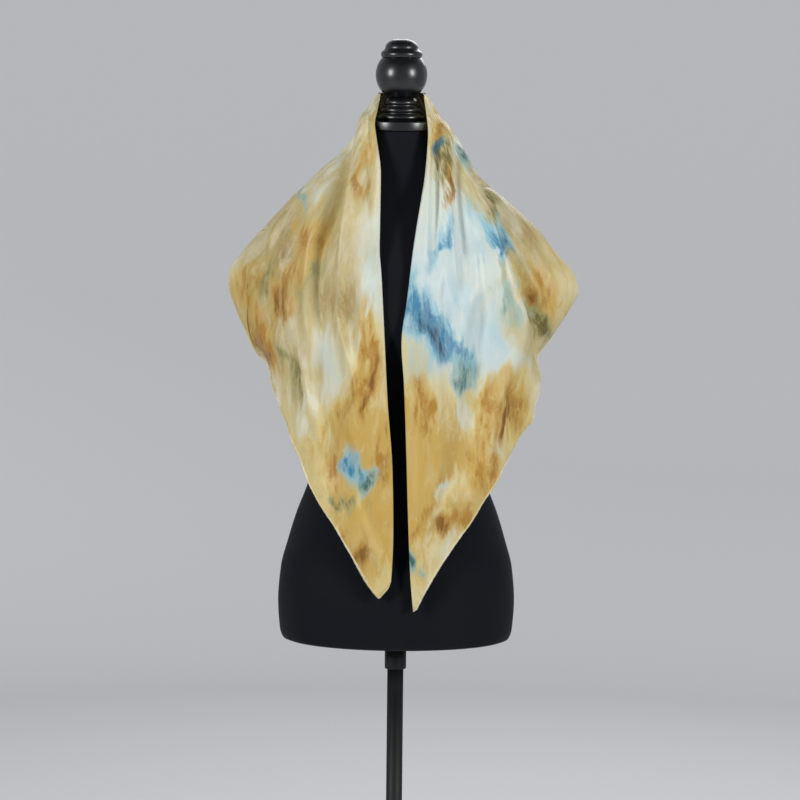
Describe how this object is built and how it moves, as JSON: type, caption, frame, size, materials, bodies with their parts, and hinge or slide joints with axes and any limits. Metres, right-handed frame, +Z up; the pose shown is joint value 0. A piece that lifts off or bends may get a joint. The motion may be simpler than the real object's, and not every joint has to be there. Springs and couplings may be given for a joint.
{
  "type": "silk square scarf on a dress form",
  "caption": "Square silk scarf folded on its diagonal, hooked under the cap's ball of a limbless dress form, with its long points hanging down the front.",
  "frame": {"origin": "middle of the base plate's underside, on the floor", "axes": "+Z up along the pole, the front of the dress form faces -Y, +X to the right of someone who faces the front"},
  "size_m": [0.5054, 0.31, 1.6],
  "materials": {
    "silk": "dip-dyed satin silk with a soft sheen",
    "cover": "black jersey stretched over the torso",
    "turned_wood": "turned wood, black satin lacquer",
    "stand": "black powder coat"
  },
  "bodies": {
    "root": {"scarf_front_left": "silk", "scarf_front_right": "silk", "scarf_back": "silk", "scarf_under_left": "silk", "scarf_under_right": "silk", "form_torso": "cover", "neck_disc": "turned_wood", "turned_neck": "turned_wood", "ball_finial": "turned_wood", "pole_collar": "stand", "pole": "stand", "base_plate": "stand"}
  },
  "joints": []
}
